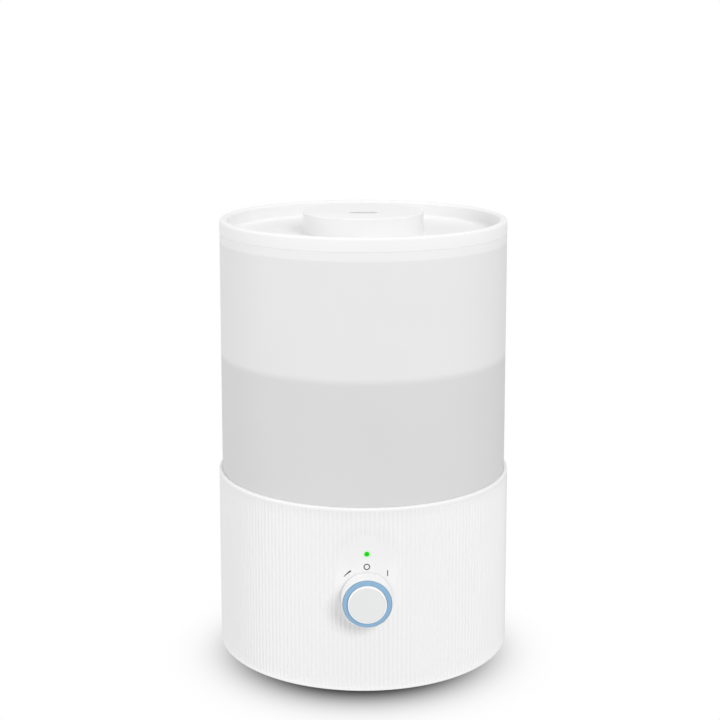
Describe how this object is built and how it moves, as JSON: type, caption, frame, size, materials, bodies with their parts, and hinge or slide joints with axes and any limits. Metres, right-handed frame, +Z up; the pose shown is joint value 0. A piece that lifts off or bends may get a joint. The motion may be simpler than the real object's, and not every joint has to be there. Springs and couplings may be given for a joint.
{
  "type": "cool mist humidifier",
  "caption": "Top-fill ultrasonic humidifier: white dished lid with a mist slot, frosted tank, fluted white base with a front output knob.",
  "frame": {"origin": "middle of the bottom cover's outer face, on the body's axis; the rubber feet reach 2 mm below it", "axes": "+Z up along the body's axis, -Y towards the knob at the front, +X to the right seen from the front"},
  "size_m": [0.1702, 0.1821, 0.2563],
  "materials": {
    "white_shell": "satin white ABS",
    "inner_white": "plain moulded polypropylene",
    "frosted_tank": "frosted, lets light through",
    "silicone": "soft, dull",
    "rubber_foot": "dull",
    "knob_blue": "satin",
    "knob_pale": "satin",
    "float_blue": "dull",
    "green_lens": "clear green, lit",
    "black_plastic": "fine grained",
    "steel": "bright zinc",
    "brass": "plain",
    "aluminium": "extruded",
    "ceramic": "glazed ceramic",
    "board_green": "solder mask"
  },
  "bodies": {
    "base": {"base_shell": "white_shell", "bottom_cover": "inner_white", "foot_1": "rubber_foot", "foot_2": "rubber_foot", "foot_3": "rubber_foot", "foot_4": "rubber_foot", "cover_screw_1": "steel", "cover_screw_2": "steel", "cover_screw_3": "steel", "cover_screw_4": "steel", "basin_tray": "inner_white", "transducer_disc": "ceramic", "transducer_seal": "silicone", "transducer_retainer": "brass", "retainer_screw_1": "steel", "retainer_screw_2": "steel", "retainer_screw_3": "steel", "float_cap": "inner_white", "float_switch": "black_plastic", "fan_frame": "black_plastic", "air_duct": "inner_white", "fan_screw_1": "steel", "fan_screw_2": "steel", "circuit_board": "board_green", "driver_heatsink": "aluminium", "driver_inductor": "brass", "driver_capacitor": "black_plastic", "control_board": "board_green", "potentiometer": "steel", "pot_nut": "steel", "led_lamp": "green_lens", "led_lens": "green_lens", "dc_jack": "black_plastic", "dc_jack_pin": "steel", "power_lead": "black_plastic", "transducer_lead": "black_plastic", "fan_lead": "black_plastic", "control_lead": "black_plastic"},
    "lid": {"lid_cover": "white_shell", "lid_liner": "white_shell", "lid_seal": "silicone", "mist_nozzle": "inner_white"},
    "tank": {"tank_wall": "frosted_tank", "tank_floor": "frosted_tank", "tank_gasket": "silicone", "mist_chimney": "frosted_tank", "valve_cage": "inner_white", "valve_spring": "steel"},
    "valve": {"valve_plunger": "inner_white", "valve_seal": "silicone"},
    "float": {"float_ring": "float_blue", "float_magnet": "black_plastic"},
    "knob": {"knob_body": "white_shell", "knob_ring": "knob_blue", "knob_cap": "knob_pale", "pot_shaft": "steel"},
    "rotor": {"fan_rotor": "black_plastic"}
  },
  "joints": [
    {"name": "tank_lift", "type": "slide", "parent": "base", "child": "tank", "axis": [0, 0, 1], "range_m": [0, 0.15]},
    {"name": "lid_lift", "type": "slide", "parent": "tank", "child": "lid", "axis": [0, 0, 1], "range_m": [0, 0.12]},
    {"name": "valve_slide", "type": "slide", "parent": "tank", "child": "valve", "axis": [0, 0, 1], "range_m": [-0.004, 0], "deforming": ["valve_spring"]},
    {"name": "float_rise", "type": "slide", "parent": "base", "child": "float", "axis": [0, 0, 1], "range_m": [0, 0.007]},
    {"name": "knob_turn", "type": "hinge", "parent": "base", "child": "knob", "pos_m": [0, -0.09, 0.0547], "axis": [0, 1, 0], "range_deg": [0, 320]},
    {"name": "fan_spin", "type": "hinge", "parent": "base", "child": "rotor", "pos_m": [-0.038, 0, 0.01], "axis": [0, 0, 1], "continuous": true}
  ],
  "couplings": [
    {"joint": "valve_slide", "follows": "tank_lift", "ratio": -0.0266}
  ]
}
